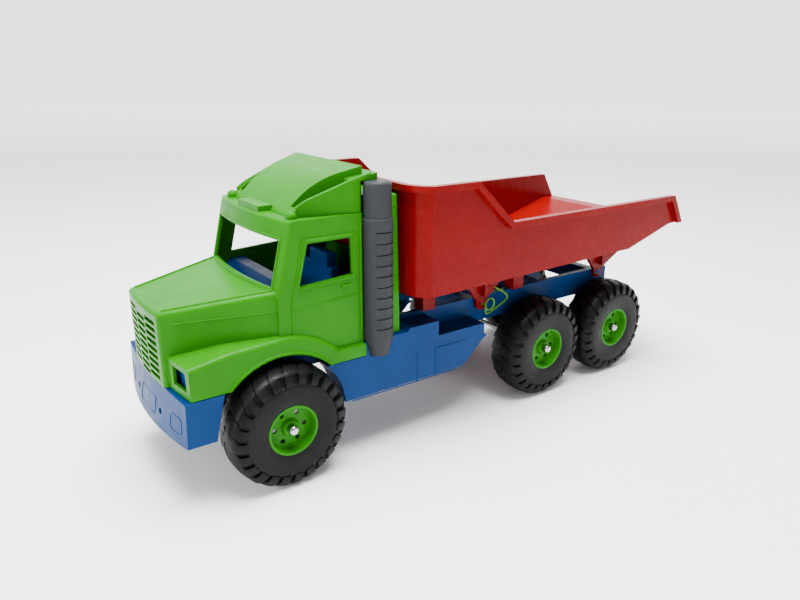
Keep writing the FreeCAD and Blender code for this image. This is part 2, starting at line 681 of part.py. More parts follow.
def make_cab_solid():
    """The cab's outer form, before it is hollowed."""
    fenders = common("fender_form", [
        prism_x("fender_side", fender_outline("0"), "- fender_x", "fender_x"),
        prism_z("fender_top_view", fender_plan("0"), "fender_bottom", "fender_top + 1"),
    ])
    along = FreeCAD.Vector(0, 1, 0)
    fenders = rounded("fender_round", fenders, "5", lambda edge: (
        abs(edge.CenterOfMass.x) > 98 and edge.CenterOfMass.z > 140))
    hood = common("hood_form", [
        prism_z("hood_top_view", hood_plan("0", "cowl_y"), "fender_bottom", "cowl_z + 5"),
        prism_x("hood_side_view", hood_side("0"), "- hood_rear_x - 5", "hood_rear_x + 5"),
    ])
    hood = rounded("hood_round", hood, "5", lambda edge: (
        edge.CenterOfMass.y < 0 and edge.CenterOfMass.z > 140
        and not (abs(edge.CenterOfMass.x) < 1 and edge.CenterOfMass.z < 140)))
    lower = box("cab_lower", ("- cab_x", "cab_x"), ("screen_low_y", "cab_rear_y"),
                ("fender_bottom", "screen_low_z"))
    upper = cab_upper("cab_upper", "0", "roof_z", "cab_rear_y")
    upper = rounded("cab_upper_round", upper, "4.5", lambda edge: (
        edge.CenterOfMass.z > 210 and edge.CenterOfMass.y < 30))
    door = prism_x("door_panel", door_outline(), "cab_x - 1", "cab_x + door_proud")
    marker = ball("marker_lamp", "marker_radius", "marker_x", "marker_y", "roof_z + 1.5")
    bar = box("light_bar", ("- bar_half", "bar_half"), ("bar_front_y", "bar_rear_y"),
              ("roof_z - 2", "bar_top"))
    bar = rounded("light_bar_round", bar, "1.5", lambda edge: edge.CenterOfMass.z > 284)
    return fuse("cab_solid", [fenders, hood, lower, upper, bar]
                + pair("door_right", door) + pair("marker_right", marker))


def make_cab_space():
    """Everything that is taken out of the cab's outer form."""
    fender_space = common("fender_space", [
        prism_x("fender_space_side", fender_outline("wall"), "- fender_x + wall",
                "fender_x - wall"),
        prism_z("fender_space_top_view", fender_plan("wall"), "fender_bottom - 4", "fender_top"),
    ])
    hood_space = common("hood_space", [
        prism_z("hood_space_top_view", hood_plan("wall", "cowl_y + 5"), "fender_bottom - 4",
                "cowl_z"),
        prism_x("hood_space_side", hood_side("wall"), "- hood_rear_x", "hood_rear_x"),
    ])
    lower = box("cab_space_lower", ("- cab_x + wall", "cab_x - wall"),
                ("screen_low_y + wall", "cab_rear_y - wall"),
                ("fender_bottom - 4", "screen_low_z + 0.5"))
    upper = cab_upper("cab_space_upper", "wall", "roof_z - wall", "cab_rear_y - wall")
    arch = rod("wheel_arch", "x", "arch_radius", "fender_x + fender_x + 2", "- fender_x - 1",
               "0", "axle_z")
    windows = prism_x("side_windows", window_outline(), "- cab_x - 5", "cab_x + 5")
    screen = prism_y("windscreen", [
        ("- screen_x", "screen_bottom"), ("screen_x", "screen_bottom"),
        ("screen_x", "screen_top"), ("- screen_x", "screen_top"),
    ], "- 20", "50")
    rear_way = prism_y("rear_way", rectangle("- rear_way_x", "rear_way_bottom", "rear_way_x",
                                             "rear_way_top"), "cab_rear_y - 10", "cab_rear_y + 5")
    rear_foot = box("rear_foot", ("- panel_neck_x - 0.5", "panel_neck_x + 0.5"),
                    ("cab_rear_y - 10", "cab_rear_y + 1"), ("fender_bottom - 1", "deck_top + 0.5"))
    grille = [grille_slot(column, row) for column in range(int(number("slot_columns")))
              for row in range(int(number("slot_rows")))]
    lamp_hole = box("lamp_hole", ("lamp_hole_in", "lamp_hole_out"),
                    ("fender_front_y - 8", "fender_side_y + 8"),
                    ("lamp_hole_bottom", "lamp_hole_top"))
    return fuse("cab_space", [fender_space, hood_space, lower, upper, arch, windows, screen,
                              rear_way, rear_foot] + grille + pair("lamp_hole_right", lamp_hole))


def grille_slot(column, row):
    """One slot of the grille; the middle column is half a pitch lower."""
    step = number("slot_width") + number("slot_gap")
    middle = (column - (number("slot_columns") - 1) / 2) * step
    drop = 0.5 * number("slot_pitch") if column == 1 else 0
    base = number("slot_bottom") + row * number("slot_pitch") - drop
    return box("slot_%d_%d" % (column, row),
               ("%g - slot_width" % (middle + number("slot_width") / 2),
                "%g + slot_width" % (middle - number("slot_width") / 2)),
               ("hood_corner_y - 8", "hood_corner_y + 5"),
               ("%g" % base, "%g + slot_height" % base))


def fairing_form(name, inset, foot):
    """The fairing's dome, waisted in plan; drawn again with an inset for its hollow."""
    side = prism_x(name + "_side", [
        ("fairing_front_y + " + inset, foot, "fairing_arc - " + inset, "left"),
        ("fairing_knee_y", "fairing_knee_z - " + inset),
        ("fairing_rear_y - " + inset, "fairing_rear_z - 0.5 - " + inset),
        ("fairing_rear_y - " + inset, foot),
    ], "- fairing_rear_x - 1", "fairing_rear_x + 1")
    front_x, rear_x = "fairing_front_x - " + inset, "fairing_rear_x - " + inset
    plan = prism_z(name + "_plan", [
        (minus(front_x), "fairing_front_y"),
        (front_x, "fairing_front_y", "waist_arc", "left"), (rear_x, "fairing_rear_y"),
        (minus(rear_x), "fairing_rear_y", "waist_arc", "left"),
    ], foot + " - 1", "fairing_rear_z + 1")
    return common(name, [side, plan])


def ledge_plan(name, inset):
    """Plan of the fairing's lower step, which tapers to the front."""
    front_x, rear_x = "ledge_front_x - " + inset, "ledge_x - " + inset
    return prism_z(name, [
        (minus(front_x), "ledge_front_y"), (front_x, "ledge_front_y"),
        (rear_x, "ledge_turn_y"), (rear_x, "ledge_rear_y"),
        (minus(rear_x), "ledge_rear_y"), (minus(rear_x), "ledge_turn_y"),
    ], "roof_z - 1", "fairing_rear_z")


def make_roof_fairing():
    """Hollow wind deflector with a rail along each side."""
    deck = "roof_z + roof_gap"
    main = fairing_form("fairing_main", "0", deck)
    ledge = common("fairing_ledge", [ledge_plan("ledge_plan", "0"), prism_x("ledge_side", [
        ("ledge_front_y", deck, "ledge_arc", "left"), ("ledge_knee_y", "ledge_knee_z"),
        ("ledge_turn_y", "ledge_turn_z"), ("ledge_rear_y", "ledge_rear_z"), ("ledge_rear_y", "ledge_under"),
        ("cab_rear_y", "ledge_under"), ("cab_rear_y", deck),
    ], "- ledge_x", "ledge_x")])
    channel = common("fairing_channel", [ledge_plan("channel_plan", "rail_width"), prism_x(
        "channel_side", [
            ("ledge_front_y + channel_depth + 2", deck, "ledge_arc", "left"),
            ("ledge_knee_y + 2", "ledge_knee_z - channel_depth"),
            ("ledge_turn_y", "ledge_turn_z - channel_depth"), ("ledge_turn_y", "ledge_rear_z + 1"),
            ("ledge_front_y + channel_depth + 2", "ledge_rear_z + 1"),
        ], "- ledge_x", "ledge_x")])
    rails = cut("fairing_rails", ledge, channel)
    solid = fuse("fairing_solid", [main, rails])
    main_space = fairing_form("fairing_space", "wall", deck + " - 1")
    side_space = common("ledge_space", [ledge_plan("ledge_space_plan", "wall"), prism_x(
        "ledge_space_side", [
            ("ledge_front_y + channel_depth + 6", deck + " - 1", "ledge_arc", "left"),
            ("ledge_knee_y + 4", "ledge_knee_z - channel_depth - wall"),
            ("ledge_turn_y - wall", "ledge_turn_z - channel_depth - wall - 1"),
            ("ledge_turn_y - wall", deck + " - 1"),
        ], "- ledge_x", "ledge_x")])
    panel_way = box("panel_way", ("- ledge_x - 1", "ledge_x + 1"),
                    ("cab_rear_y", "fairing_rear_y + 1"), ("roof_z - 1", "panel_top + roof_gap"))
    stack_way = box("stack_way", ("stack_way_x", "ledge_x + 1"), ("cab_rear_y", "ledge_rear_y + 1"),
                    ("roof_z - 1", "ledge_under"))
    bar_way = box("bar_way", ("- bar_half - roof_gap", "bar_half + roof_gap"),
                  ("ledge_front_y - 5", "bar_rear_y + roof_gap"), ("roof_z - 1", "bar_top + roof_gap"))
    marker_way = ball("marker_way", "marker_radius + 0.4", "marker_x", "marker_y", "roof_z + 1.5")
    tools = fuse("fairing_tools", [main_space, side_space, panel_way, bar_way]
                 + pair("stack_way_right", stack_way) + pair("marker_way_right", marker_way))
    return cut("roof_fairing", solid, tools)


def panel_form(name, inset, low):
    """Tray form: a neck between the stacks and a wider back behind them."""
    top = "panel_top - " + inset
    rear = [("panel_low_y - " + inset, low), ("panel_top_y - " + inset, top)]
    front = "cab_rear_y + roof_gap" if inset == "0" else "cab_rear_y - 5"
    neck = prism_x(name + "_neck", [(front, low)] + rear + [(front, top)],
                   "- panel_neck_x + " + inset, "panel_neck_x - " + inset)
    shoulder = "panel_neck_y + " + inset
    back = prism_x(name + "_back", [(shoulder, low)] + rear + [(shoulder, top)],
                   "- panel_x + " + inset, "panel_x - " + inset)
    return [neck, back]


def make_rear_panel():
    """Tray that closes the back of the cab, with the rear window."""
    skin = fuse("panel_skin", panel_form("panel_skin", "0", "panel_bottom"))
    skin = rounded("panel_round", skin, "2", lambda edge: (
        edge.CenterOfMass.y > 142 and edge.CenterOfMass.z > 140
        and (edge.CenterOfMass.z > 290 or abs(edge.CenterOfMass.x) > 85)))
    window = prism_y("back_window", rectangle(
        "- back_window_x", "back_window_bottom", "back_window_x", "back_window_top"),
        "panel_top_y - 15", "panel_low_y + 5")
    seam = box("panel_seam", ("panel_x - 0.8", "panel_x + 1"), ("panel_neck_y - 1", "panel_low_y"),
               ("seam_z", "seam_z + 1"))
    tools = panel_form("panel_space", "wall", "panel_bottom - 5") + [window]
    return cut("cab_rear_panel", skin, fuse("panel_tools", tools + pair("panel_seam_right", seam)))


finish("cab_shell", cut("cab_shell", make_cab_solid(), make_cab_space()))
finish("roof_fairing", make_roof_fairing())
finish("cab_rear_panel", make_rear_panel())


# Inside the cab: a dashboard and a seat that stand on the chassis deck.

def make_dashboard():
    """Dashboard across the cab on a pedestal."""
    top = prism_x("dash_top_block", [
        ("dash_front_y + 3", "182"), ("dash_rear_y - 6", "182"), ("dash_rear_y", "196"),
        ("dash_rear_y - 4", "dash_top"), ("dash_front_y + 16", "dash_top"),
        ("dash_front_y", "dash_nose_z"),
    ], "- dash_x", "dash_x")
    top = rounded("dash_round", top, "2", lambda edge: runs_along(edge, FreeCAD.Vector(1, 0, 0))
                  and edge.CenterOfMass.z > 195)
    pedestal = box("dash_pedestal", ("- rail_inner_x + 4", "rail_inner_x - 4"),
                   ("dash_front_y + 8", "dash_rear_y - 10"), ("deck_top + 0.1", "183"))
    return fuse("dashboard", [top, pedestal])


def make_seat():
    """Bench seat with a tall back and two headrests."""
    side = prism_x("seat_side", [
        ("seat_front_y", "deck_top + 0.1"), ("seat_rear_y", "deck_top + 0.1"),
        ("seat_rear_y", "seat_top - 16"), ("seat_back_y", "seat_top - 16"),
        ("seat_back_y - 2", "seat_cushion_z"), ("seat_front_y", "seat_cushion_z"),
    ], "- seat_x", "seat_x")
    side = rounded("seat_round", side, "3", lambda edge: edge.CenterOfMass.z > 170
                   and not runs_along(edge, FreeCAD.Vector(0, 0, 1)))
    headrest = box("headrest", ("8", "seat_x - 8"), ("seat_back_y", "seat_rear_y"),
                   ("seat_top - 18", "seat_top"))
    headrest = rounded("headrest_round", headrest, "3", lambda edge: edge.CenterOfMass.z > 222)
    return fuse("seat", [side] + pair("headrest_right", headrest))


finish("dashboard", make_dashboard())
finish("seat", make_seat())


# Exhaust stacks: a pipe in a slit sleeve with a tapered foot.

def make_stack(name):
    """Left exhaust stack."""
    foot = cone(name + "_foot", "stack_tip", "stack_radius", "stack_taper - stack_bottom",
                "stack_x", "stack_y", "stack_bottom")
    sleeve = rod(name + "_sleeve", "z", "stack_radius", "sleeve_top - stack_taper",
                 "stack_x", "stack_y", "stack_taper")
    pipe = rod(name + "_pipe", "z", "pipe_radius", "stack_top - sleeve_top + 5",
               "stack_x", "stack_y", "sleeve_top - 5")
    pipe = rounded(name + "_pipe_round", pipe, "4", lambda edge: edge.CenterOfMass.z > 300)
    body = fuse(name + "_body", [foot, sleeve, pipe])
    body = rounded(name + "_body_round", body, "1.2", lambda edge: (
        abs(edge.CenterOfMass.z - number("sleeve_top")) < 0.5
        and edge.BoundBox.XLength > 2 * number("stack_radius") - 1))
    slits = []
    for i in range(int(number("slit_count"))):
        height = "slit_bottom + %g" % (i * number("slit_pitch"))
        blank = prism_z("%s_slit_%d" % (name, i), [
            ("stack_x + 4", "stack_y - 2"), ("stack_x + 25", "stack_y - 20"),
            ("stack_x + 25", "stack_y + 25"), ("stack_x - 4", "stack_y + 25"),
            ("stack_x - 1", "stack_y + 2"),
        ], height, height + " + slit_height")
        core = rod("%s_slit_core_%d" % (name, i), "z", "stack_radius - slit_depth", "4",
                   "stack_x", "stack_y", height + " - 1")
        slits.append(cut("%s_slit_cut_%d" % (name, i), blank, core))
    return cut(name, body, fuse(name + "_slits", slits))


left_stack = make_stack("exhaust_stack_left")
finish("exhaust_stack_left", left_stack)
finish("exhaust_stack_right", mirrored("exhaust_stack_right", left_stack), shifted=False)


# Tipper bed: open tub with a turned-out rim, standing on pegs and hinged on two ears.

def tub_outline(inset):
    """Side view of the tub."""
    if inset == "0":
        return [
            ("bed_front_y", "bed_bottom"), ("ramp_y", "ramp_z"),
            ("ramp_end_y", "bed_tail_low - 1"), ("bed_tail_low_y", "bed_tail_low"),
            ("bed_tail_y", "bed_low"), ("bed_low_y", "bed_low"),
            ("bed_high_y", "bed_high"), ("bed_front_y", "bed_high"),
        ]
    return [
        ("bed_front_y + " + inset, "bed_bottom + " + inset), ("ramp_y - 1", "ramp_z + " + inset),
        ("ramp_end_y - 1", "bed_tail_low - 1 + " + inset),
        ("bed_tail_low_y + 20", "bed_tail_low + " + inset), ("bed_tail_low_y + 20", "bed_high + 10"),
        ("bed_front_y + " + inset, "bed_high + 10"),
    ]


def tub_plan(name, half, front, turn, radius):
    """Plan of the tub: its front turns back by a length before it meets the sides."""
    return prism_z(name, [
        (minus(half), front + " + " + turn, radius, "right"), ("- bed_turn_x", front),
        ("bed_turn_x", front, radius, "right"), (half, front + " + " + turn),
        (half, "bed_tail_low_y + 20"), (minus(half), "bed_tail_low_y + 20"),
    ], "bed_bottom - 2", "bed_high + 8")


def bracket(name, lug_y, lug_z, lug_radius, front_y, rear_y):
    """Triangular bracket under the bed that ends in a round lug."""
    plate = prism_x(name + "_plate", [
        (lug_y + " - " + lug_radius, lug_z), (lug_y + " + " + lug_radius, lug_z),
        (lug_y + " + " + lug_radius, lug_z + " + 5"), (rear_y, "ear_shoulder"),
        (rear_y + " + 10", "ramp_z + 19"), (front_y + " - 10", "ramp_z + 19"),
        (front_y, "ear_shoulder"), (lug_y + " - " + lug_radius, lug_z + " + 5"),
    ], "ear_inner_x", "ear_outer_x")
    lug = rod(name + "_lug", "x", lug_radius, "ear_outer_x - ear_inner_x", "ear_inner_x",
              lug_y, lug_z)
    rib = prism_x(name + "_rib", [
        (lug_y + " - 2", lug_z + " + 12"), (lug_y + " + 2", lug_z + " + 12"),
        (lug_y + " + 2", "ramp_z + 3"), (lug_y + " - 2", "ramp_z + 3"),
    ], "ear_outer_x - 1", "ear_outer_x + 8")
    return [plate, lug, rib]


def make_bed():
    """The red tipper bed."""
    tub = common("tub_form", [
        prism_x("tub_side", tub_outline("0"), "- bed_x", "bed_x"),
        tub_plan("tub_top_view", "bed_x", "bed_front_y", "wall_turn", "bed_arc"),
    ])
    rim = common("rim_form", [
        prism_x("rim_side", [
            ("bed_front_y - rim_out", "bed_high"),
            ("bed_front_y - rim_out", "bed_high - rim_height"),
            ("bed_high_y - 3.5", "bed_high - rim_height"), ("bed_low_y - 3.5", "bed_low - rim_height"),
            ("bed_tail_y - 5.5", "bed_low - rim_height"),
            ("bed_tail_low_y - tail_rim - 1.5", "bed_tail_low - 0.5"),
            ("bed_tail_low_y", "bed_tail_low"), ("bed_tail_y", "bed_low"),
            ("bed_low_y", "bed_low"), ("bed_high_y", "bed_high"),
        ], "- rim_x", "rim_x"),
        tub_plan("rim_top_view", "rim_x", "bed_front_y - rim_out", "rim_turn",
                 "bed_arc + rim_out"),
    ])
    pegs = []
    for i, peg_y in enumerate(("peg_front_y", "peg_rear_y")):
        peg = box("peg_%d" % i, ("peg_inner_x", "ear_outer_x"), (peg_y, peg_y + " + peg_length"),
                  ("rail_top + rest_gap", "ramp_z"))
        pegs += pair("peg_right_%d" % i, peg)
    ear = bracket("hinge_ear", "hinge_y", "hinge_z", "ear_radius", "ear_front_y", "ear_rear_y")
    lock = bracket("lock_ear", "lock_y", "lock_z", "lock_ear_radius", "lock_front_y",
                   "lock_rear_y")
    ears = pair("ears_right", fuse("ears_left", ear + lock))
    ramp_trim = prism_x("ramp_trim", tub_outline("bed_wall"), "- bed_x + bed_wall",
                        "bed_x - bed_wall")
    space = common("tub_space", [
        ramp_trim,
        tub_plan("tub_space_top_view", "bed_x - bed_wall", "bed_front_y + bed_wall",
                 "space_turn", "bed_arc - bed_wall"),
    ])
    solid = fuse("bed_solid", [tub, rim] + pegs + ears)
    pin_holes = pair("pin_hole_right", rod("pin_hole", "x", "pin_radius + pin_fit", "12",
                                           "ear_inner_x - 2", "hinge_y", "hinge_z"))
    lock_holes = pair("lock_hole_right", rod("lock_hole", "x", "clip_bore", "20",
                                             "ear_inner_x - 2", "lock_y", "lock_z"))
    return cut("tipper_bed", solid, fuse("bed_tools", [space] + pin_holes + lock_holes))


finish("tipper_bed", make_bed())


# Lock clip: one wire, straight through the bed's front ear, coiled once or twice, then bent
# into a three-cornered pull.

def wire_between(name, start, end):
    """Straight wire between two (x, y, z) points, with a ball at each end."""
    run = FreeCAD.Vector(*end) - FreeCAD.Vector(*start)
    item = doc.addObject("Part::Cylinder", name)
    item.setExpression("Radius", bound("wire_radius", "mm"))
    item.Height = run.Length
    item.Placement = FreeCAD.Placement(
        FreeCAD.Vector(*start), FreeCAD.Rotation(FreeCAD.Vector(0, 0, 1), run))
    tip = ball(name + "_end", "wire_radius", "%g" % end[0], "%g" % end[1], "%g" % end[2])
    return [item, tip]


def make_lock_clip():
    """The wire lock clip."""
    pin = rod("clip_pin", "x", "wire_radius", "clip_coil_x - clip_end_x", "clip_end_x", "lock_y",
              "lock_z")
    centre_y = number("lock_y") + number("coil_radius")
    pieces = [pin]
    for turn in range(int(number("coil_turns"))):
        pieces.append(ring("clip_coil_%d" % turn, "coil_radius", "wire_radius",
                           "clip_coil_x + %g" % (turn * 2 * number("wire_radius") * 0.95),
                           "%g" % centre_y, "lock_z"))
    loop_x = number("clip_coil_x") + 2 * number("wire_radius") * 0.95
    low = (loop_x, centre_y - 3, number("lock_z") - number("coil_radius") - 4)
    corners = [
        (loop_x, centre_y - number("coil_radius"), number("lock_z")), low,
        (loop_x, centre_y + 31, number("lock_z") + 2),
        (loop_x, centre_y + 6, number("lock_z") + 22),
    ]
    for i in range(3):
        pieces += wire_between("clip_run_%d" % i, corners[i], corners[i + 1])
    return fuse("lock_clip", pieces)


finish("lock_clip", make_lock_clip())


# Screws that hold the bumper's arms to the rails, one group.

def make_bumper_screws():
    """Two pan-head screws through each rail into the bumper's arm."""
    heads = []
    for i, y in enumerate(SCREW_PLACES):
        head = rod("screw_head_%d" % i, "x", "screw_head", "screw_head_thick", "rail_outer_x", y,
                   "arm_bottom + 8")
        heads += pair("screw_head_right_%d" % i, head)
    return fuse("bumper_screws", heads + screw_rods("screw_shank", "screw_radius", "0"))


finish("bumper_screws", make_bumper_screws())


# Check every object, then write one file for each piece.

doc.recompute()
broken = [item.Name for item in doc.Objects if "Invalid" in item.State or "Error" in item.State]
if broken:
    raise RuntimeError("objects that failed: " + ", ".join(broken))
for node in NODES:
    if node.Shape.isNull() or not node.Shape.isValid() or not node.Shape.Solids:
        raise RuntimeError(node.Label + " is not a valid solid")

os.makedirs("parts", exist_ok=True)
for node in NODES:
    node.Shape.exportStep("parts/%s.step" % node.Label)
    bounds = node.Shape.BoundBox
    print("%-22s solids %d volume %9.0f  x %.1f..%.1f  y %.1f..%.1f  z %.1f..%.1f" % (
        node.Label, len(node.Shape.Solids), node.Shape.Volume, bounds.XMin, bounds.XMax,
        bounds.YMin, bounds.YMax, bounds.ZMin, bounds.ZMax))
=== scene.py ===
"""Looks of the toy tipper truck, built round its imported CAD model. Metres, nose towards -Y."""

import json
import math

import bpy
from mathutils import Matrix, Vector


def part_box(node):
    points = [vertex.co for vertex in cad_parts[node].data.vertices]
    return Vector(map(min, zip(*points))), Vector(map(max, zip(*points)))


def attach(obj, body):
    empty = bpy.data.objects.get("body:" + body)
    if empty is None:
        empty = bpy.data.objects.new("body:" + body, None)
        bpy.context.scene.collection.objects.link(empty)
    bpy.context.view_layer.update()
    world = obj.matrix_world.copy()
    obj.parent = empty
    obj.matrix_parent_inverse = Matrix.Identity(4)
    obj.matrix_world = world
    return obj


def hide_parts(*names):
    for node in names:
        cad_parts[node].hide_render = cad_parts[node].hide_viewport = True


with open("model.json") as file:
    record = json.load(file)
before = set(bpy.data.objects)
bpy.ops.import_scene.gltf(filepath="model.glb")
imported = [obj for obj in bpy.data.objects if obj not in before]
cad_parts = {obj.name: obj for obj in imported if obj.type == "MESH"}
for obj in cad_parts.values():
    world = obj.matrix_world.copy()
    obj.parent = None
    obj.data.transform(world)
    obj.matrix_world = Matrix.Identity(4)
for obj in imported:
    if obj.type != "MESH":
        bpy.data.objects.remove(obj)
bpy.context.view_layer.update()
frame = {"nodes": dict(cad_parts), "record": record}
NODES = frame["nodes"]

MM = 0.001
SIDES = {"left": 1, "right": -1}


# Places. The helpers take millimetres: across, behind the front axle, and up from a line that
# is AXLE_Z under the axles, as the truck's own drawings do.

def middle(node):
    """Middle of a node's box."""
    low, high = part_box(node)
    return (Vector(low) + Vector(high)) / 2


AXLE = middle("front_axle")
AXLE_Z = 65.0
CAB_X = 92.0
DOOR_X = 93.0
FENDER_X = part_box("cab_shell")[1][0] / MM
SKIRT_X = 98.0
ARCH_RADIUS = 80.0
FENDER_LOW = 119.5
SCREEN_RADIUS = 475.0
BUMPER_X = 99.0
BUMPER_LOW, BUMPER_TOP = 69.0, 118.0
LOCK_Y, LOCK_Z = 300.0, 134.5


def spot(x, y, z):
    """Point in metres from millimetres across, behind the front axle and up from AXLE_Z below it."""
    return Vector((x * MM, AXLE.y + y * MM, AXLE.z + (z - AXLE_Z) * MM))


# Materials. Every plastic has a faint flow mottle in its colour, a fine moulded grain, a gloss
# that varies, and edges that are rounded and carry a painted highlight: their colour is made paler
# in patches.

class Shader:
    """A node material with a few shortcuts."""

    def __init__(self, name):
        self.material = bpy.data.materials.new(name)
        self.material.use_nodes = True
        self.tree = self.material.node_tree
        self.surface = self.tree.nodes["Principled BSDF"]
        self.place = self.add("ShaderNodeTexCoord").outputs["Object"]

    def add(self, kind, **values):
        """New node with some of its inputs or settings filled in."""
        node = self.tree.nodes.new(kind)
        for key, value in values.items():
            if key in node.inputs.keys():
                node.inputs[key].default_value = value
            else:
                setattr(node, key, value)
        return node

    def link(self, source, target):
        self.tree.links.new(source, target)

    def noise(self, scale, detail=3.0, stretch=None):
        """Noise over the object's own coordinates."""
        node = self.add("ShaderNodeTexNoise", Scale=scale, Detail=detail)
        place = self.place
        if stretch:
            mapping = self.add("ShaderNodeMapping", Scale=stretch)
            self.link(place, mapping.inputs["Vector"])
            place = mapping.outputs["Vector"]
        self.link(place, node.inputs["Vector"])
        return node.outputs["Fac"]

    def ramp(self, fac, stops):
        """Colour ramp with (place, colour) stops."""
        node = self.add("ShaderNodeValToRGB")
        elements = node.color_ramp.elements
        while len(elements) < len(stops):
            elements.new(0.5)
        for element, (where, colour) in zip(elements, stops):
            element.position = where
            element.color = (*colour, 1)
        self.link(fac, node.inputs["Fac"])
        return node.outputs["Color"]

    def range(self, fac, low, high, start=0.3, end=0.7):
        """Maps part of a texture's range to low..high."""
        node = self.add("ShaderNodeMapRange")
        for key, value in (("From Min", start), ("From Max", end), ("To Min", low),
                           ("To Max", high)):
            node.inputs[key].default_value = value
        self.link(fac, node.inputs["Value"])
        return node.outputs["Result"]

    def rounded_normal(self, radius):
        """Normal that rounds every hard edge."""
        node = self.add("ShaderNodeBevel", samples=6)
        node.inputs["Radius"].default_value = radius
        return node.outputs["Normal"]

    def edge_mask(self, rounded):
        """1 on edges, 0 on flat faces."""
        dot = self.add("ShaderNodeVectorMath", operation="DOT_PRODUCT")
        self.link(self.add("ShaderNodeNewGeometry").outputs["Normal"], dot.inputs[0])
        self.link(rounded, dot.inputs[1])
        return self.range(dot.outputs["Value"], 1.0, 0.0, 0.80, 0.995)

    def bump(self, height, strength, distance, normal=None):
        node = self.add("ShaderNodeBump", Strength=strength, Distance=distance)
        self.link(height, node.inputs["Height"])
        if normal:
            self.link(normal, node.inputs["Normal"])
        return node.outputs["Normal"]

    def mix(self, fac, first, second):
        """Mix of two colours."""
        node = self.add("ShaderNodeMix", data_type="RGBA")
        self.link(fac, node.inputs["Factor"])
        for value, place in ((first, 6), (second, 7)):
            if isinstance(value, tuple):
                node.inputs[place].default_value = (*value, 1)
            else:
                self.link(value, node.inputs[place])
        return node.outputs[2]


PLASTIC_SHINE = 0.14
TYRE_SHINE = 0.09


def tint(colour, factor):
    """A colour made darker or lighter."""
    return tuple(min(1.0, part * factor) for part in colour)


def plastic(name, colour, gloss, grain=0.05, edge=1.5, round_edge=0.9 * MM):
    """Injection-moulded plastic."""
    shader = Shader(name)
    mottle = shader.noise(22, 4)
    body = shader.ramp(mottle, [(0.30, tint(colour, 0.90)), (0.55, colour),
                                (0.80, tint(colour, 1.08))])
    rounded = shader.rounded_normal(round_edge)
    # Painted highlight: the rounded edges get a paler copy of the colour, in patches, standing in
    # for light caught on them.
    pale = tuple(part * edge + 0.002 for part in colour)
    mask = shader.edge_mask(rounded)
    painted_highlight = shader.add("ShaderNodeMath", operation="MULTIPLY")
    shader.link(mask, painted_highlight.inputs[0])
    shader.link(shader.range(shader.noise(160, 4), 0.25, 0.75), painted_highlight.inputs[1])
    shader.link(shader.mix(painted_highlight.outputs["Value"], body, pale), shader.surface.inputs["Base Color"])
    shader.link(shader.range(shader.noise(70, 5), gloss - 0.05, gloss + 0.07),
                shader.surface.inputs["Roughness"])
    grainy = shader.bump(shader.noise(1500, 2), grain, 0.2 * MM, rounded)
    wavy = shader.bump(shader.noise(38, 2), 0.10, 0.8 * MM, grainy)
    shader.link(wavy, shader.surface.inputs["Normal"])
    shader.surface.inputs["IOR"].default_value = 1.33
    shader.surface.inputs["Specular IOR Level"].default_value = PLASTIC_SHINE
    return shader.material


def tyre_plastic(name):
    """Black blow-moulded plastic with a faint dust and fine scuffs round the wheel."""
    shader = Shader(name)
    dust = shader.ramp(shader.noise(55, 5), [(0.35, (0.0022, 0.0022, 0.0025)),
                                             (0.75, (0.0050, 0.0050, 0.0055))])
    shader.link(dust, shader.surface.inputs["Base Color"])
    shader.link(shader.range(shader.noise(120, 4), 0.36, 0.52), shader.surface.inputs["Roughness"])
    rounded = shader.rounded_normal(0.5 * MM)
    shader.link(shader.bump(shader.noise(1100, 3), 0.10, 0.25 * MM, rounded),
                shader.surface.inputs["Normal"])
    shader.surface.inputs["Specular IOR Level"].default_value = TYRE_SHINE
    return shader.material


def metal(name, colour, gloss, stretch=(1, 1, 1)):
    """Metal with fine drawing marks."""
    shader = Shader(name)
    lines = shader.noise(900, 3, stretch)
    shader.link(shader.ramp(lines, [(0.3, tint(colour, 0.8)), (0.7, colour)]),
                shader.surface.inputs["Base Color"])
    shader.link(shader.range(lines, gloss, gloss + 0.14), shader.surface.inputs["Roughness"])
    shader.link(shader.bump(lines, 0.06, 0.1 * MM, shader.rounded_normal(0.4 * MM)),
                shader.surface.inputs["Normal"])
    shader.surface.inputs["Metallic"].default_value = 1.0
    return shader.material


GREEN = (0.0130, 0.150, 0.0004)
BLUE = (0.0001, 0.027, 0.115)
RED = (0.150, 0.0001, 0.0007)
MATERIALS = {
    "green_plastic": plastic("green_plastic", GREEN, 0.33),
    "blue_plastic": plastic("blue_plastic", BLUE, 0.36),
    "red_plastic": plastic("red_plastic", RED, 0.26),
    "grey_plastic": plastic("grey_plastic", (0.026, 0.028, 0.031), 0.42, 0.12),
    "tyre_black": tyre_plastic("tyre_black"),
    "steel_wire": metal("steel_wire", (0.30, 0.30, 0.29), 0.28, (0.1, 1, 1)),
    "cap_chrome": metal("cap_chrome", (0.42, 0.42, 0.44), 0.10),
    "green_wire": plastic("green_wire", (0.09, 0.22, 0.006), 0.35, 0.05, 1.2, 0.3 * MM),
    "screw_steel": metal("screw_steel", (0.26, 0.26, 0.25), 0.30),
}
for entry in frame["record"]["subparts"]:
    mesh = NODES[entry["node"]].data
    mesh.materials.clear()
    mesh.materials.append(MATERIALS[entry["material_slot"]])


# Pieces.

def add_piece(name, mesh, slot, body, angle=35.0):
    """Puts a mesh in the scene, on a body, with its material."""
    mesh.shade_smooth()
    mesh.set_sharp_from_angle(angle=math.radians(angle))
    piece = bpy.data.objects.new(name, mesh)
    bpy.context.scene.collection.objects.link(piece)
    mesh.materials.clear()
    mesh.materials.append(MATERIALS[slot])
    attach(piece, body)
    return piece


def mesh_from(name, points, faces):
    mesh = bpy.data.meshes.new(name)
    mesh.from_pydata([tuple(point) for point in points], [], faces)
    mesh.update()
    return mesh


